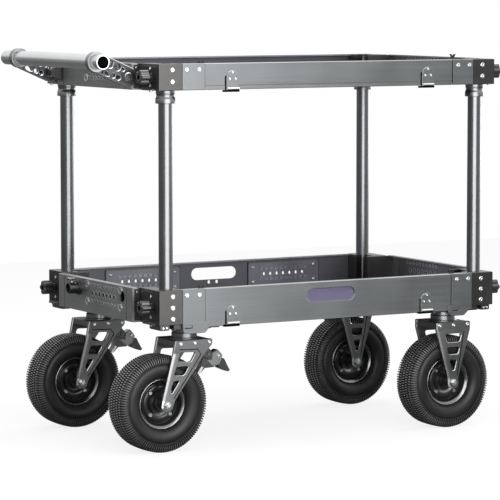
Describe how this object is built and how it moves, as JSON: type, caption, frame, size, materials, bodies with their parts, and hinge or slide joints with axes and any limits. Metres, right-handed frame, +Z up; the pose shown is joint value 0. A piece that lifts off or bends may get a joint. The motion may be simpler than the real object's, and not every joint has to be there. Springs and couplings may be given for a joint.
{
  "type": "camera cart",
  "caption": "Equipment cart with two open metal trays on tube uprights, a push handle and treaded casters, the rear ones swivelling with foot brakes.",
  "frame": {"origin": "on the floor, under the middle of the whole length and width", "axes": "+X to the nose, +Y to the left of whoever pushes it, +Z up"},
  "size_m": [1.2102, 0.653, 1.0267],
  "materials": {
    "rail": "satin gunmetal anodised",
    "block": "black anodised",
    "deck": "covered with low matting",
    "post": "polished",
    "knob": "moulded",
    "fork": "satin grey anodised",
    "axle": "zinc plated",
    "rim": "gloss black",
    "tyre": "rubber",
    "handle": "satin"
  },
  "bodies": {
    "base": {"lower_rail_left": "rail", "lower_rail_right": "rail", "lower_end_panel_front": "rail", "lower_corner_block_front_left": "block", "lower_corner_block_front_right": "block", "lower_end_panel_rear": "rail", "lower_corner_block_rear_left": "block", "lower_corner_block_rear_right": "block", "lower_deck": "deck", "pipe_socket": "rail", "caster_mount_front_left": "fork", "caster_mount_front_right": "fork", "caster_mount_rear_left": "fork", "caster_mount_rear_right": "fork", "fixed_fork_front_left": "fork", "axle_front_left": "axle", "fixed_fork_front_right": "fork", "axle_front_right": "axle"},
    "uprights": {"post_front_left": "post", "post_front_right": "post", "post_rear_left": "post", "post_rear_right": "post"},
    "upper_tray": {"upper_rail_left": "rail", "upper_rail_right": "rail", "upper_end_panel_front": "rail", "upper_corner_block_front_left": "block", "upper_corner_block_front_right": "block", "upper_end_panel_rear": "rail", "upper_corner_block_rear_left": "block", "upper_corner_block_rear_right": "block", "upper_deck": "deck", "handle_bracket_left": "block", "handle_bracket_right": "block"},
    "handle": {"handle_arm_left": "handle", "handle_arm_right": "handle", "handle_bar": "handle"},
    "lower_knob_front_left": {"lower_knob_front_left": "knob"},
    "upper_knob_front_left": {"upper_knob_front_left": "knob"},
    "wheel_front_left": {"rim_front_left": "rim", "tyre_front_left": "tyre"},
    "lower_knob_front_right": {"lower_knob_front_right": "knob"},
    "upper_knob_front_right": {"upper_knob_front_right": "knob"},
    "wheel_front_right": {"rim_front_right": "rim", "tyre_front_right": "tyre"},
    "lower_knob_rear_left": {"lower_knob_rear_left": "knob"},
    "upper_knob_rear_left": {"upper_knob_rear_left": "knob"},
    "wheel_rear_left": {"rim_rear_left": "rim", "tyre_rear_left": "tyre"},
    "lower_knob_rear_right": {"lower_knob_rear_right": "knob"},
    "upper_knob_rear_right": {"upper_knob_rear_right": "knob"},
    "wheel_rear_right": {"rim_rear_right": "rim", "tyre_rear_right": "tyre"},
    "swivel_left": {"swivel_fork_rear_left": "fork", "axle_rear_left": "axle", "brake_bracket_left": "fork"},
    "brake_left": {"brake_lever_left": "knob"},
    "swivel_right": {"swivel_fork_rear_right": "fork", "axle_rear_right": "axle", "brake_bracket_right": "fork"},
    "brake_right": {"brake_lever_right": "knob"}
  },
  "joints": [
    {"name": "caster_swivel_left", "type": "hinge", "parent": "base", "child": "swivel_left", "pos_m": [-0.33815, 0.247, 0.3], "axis": [0, 0, 1], "continuous": true},
    {"name": "rear_wheel_spin_left", "type": "hinge", "parent": "swivel_left", "child": "wheel_rear_left", "pos_m": [-0.41615, 0.247, 0.12591], "axis": [0, 1, 0], "continuous": true},
    {"name": "front_wheel_spin_left", "type": "hinge", "parent": "base", "child": "wheel_front_left", "pos_m": [0.45585, 0.247, 0.12591], "axis": [0, 1, 0], "continuous": true},
    {"name": "brake_press_left", "type": "hinge", "parent": "swivel_left", "child": "brake_left", "pos_m": [-0.27615, 0.247, 0.245], "axis": [0, 1, 0], "range_deg": [0, 8]},
    {"name": "caster_swivel_right", "type": "hinge", "parent": "base", "child": "swivel_right", "pos_m": [-0.33815, -0.247, 0.3], "axis": [0, 0, 1], "continuous": true},
    {"name": "rear_wheel_spin_right", "type": "hinge", "parent": "swivel_right", "child": "wheel_rear_right", "pos_m": [-0.41615, -0.247, 0.12591], "axis": [0, 1, 0], "continuous": true},
    {"name": "front_wheel_spin_right", "type": "hinge", "parent": "base", "child": "wheel_front_right", "pos_m": [0.45585, -0.247, 0.12591], "axis": [0, 1, 0], "continuous": true},
    {"name": "brake_press_right", "type": "hinge", "parent": "swivel_right", "child": "brake_right", "pos_m": [-0.27615, -0.247, 0.245], "axis": [0, 1, 0], "range_deg": [0, 8]},
    {"name": "uprights_lift", "type": "slide", "parent": "base", "child": "uprights", "axis": [0, 0, 1], "range_m": [0, 0.06]},
    {"name": "upper_tray_lift", "type": "slide", "parent": "uprights", "child": "upper_tray", "axis": [0, 0, 1], "range_m": [0, 0.045]},
    {"name": "handle_fold", "type": "hinge", "parent": "upper_tray", "child": "handle", "pos_m": [-0.49015, 0, 0.96225], "axis": [0, -1, 0], "range_deg": [0, 90]},
    {"name": "lower_knob_turn_front_left", "type": "hinge", "parent": "base", "child": "lower_knob_front_left", "pos_m": [0.56685, 0.285, 0.378], "axis": [1, 0, 0], "range_deg": [0, 360]},
    {"name": "lower_knob_turn_front_right", "type": "hinge", "parent": "base", "child": "lower_knob_front_right", "pos_m": [0.56685, -0.285, 0.378], "axis": [1, 0, 0], "range_deg": [0, 360]},
    {"name": "lower_knob_turn_rear_left", "type": "hinge", "parent": "base", "child": "lower_knob_rear_left", "pos_m": [-0.44915, 0.285, 0.378], "axis": [1, 0, 0], "range_deg": [0, 360]},
    {"name": "lower_knob_turn_rear_right", "type": "hinge", "parent": "base", "child": "lower_knob_rear_right", "pos_m": [-0.44915, -0.285, 0.378], "axis": [1, 0, 0], "range_deg": [0, 360]},
    {"name": "upper_knob_turn_front_left", "type": "hinge", "parent": "upper_tray", "child": "upper_knob_front_left", "pos_m": [0.56685, 0.285, 0.96225], "axis": [1, 0, 0], "range_deg": [0, 360]},
    {"name": "upper_knob_turn_front_right", "type": "hinge", "parent": "upper_tray", "child": "upper_knob_front_right", "pos_m": [0.56685, -0.285, 0.96225], "axis": [1, 0, 0], "range_deg": [0, 360]},
    {"name": "upper_knob_turn_rear_left", "type": "hinge", "parent": "upper_tray", "child": "upper_knob_rear_left", "pos_m": [-0.44915, 0.285, 0.96225], "axis": [1, 0, 0], "range_deg": [0, 360]},
    {"name": "upper_knob_turn_rear_right", "type": "hinge", "parent": "upper_tray", "child": "upper_knob_rear_right", "pos_m": [-0.44915, -0.285, 0.96225], "axis": [1, 0, 0], "range_deg": [0, 360]}
  ]
}
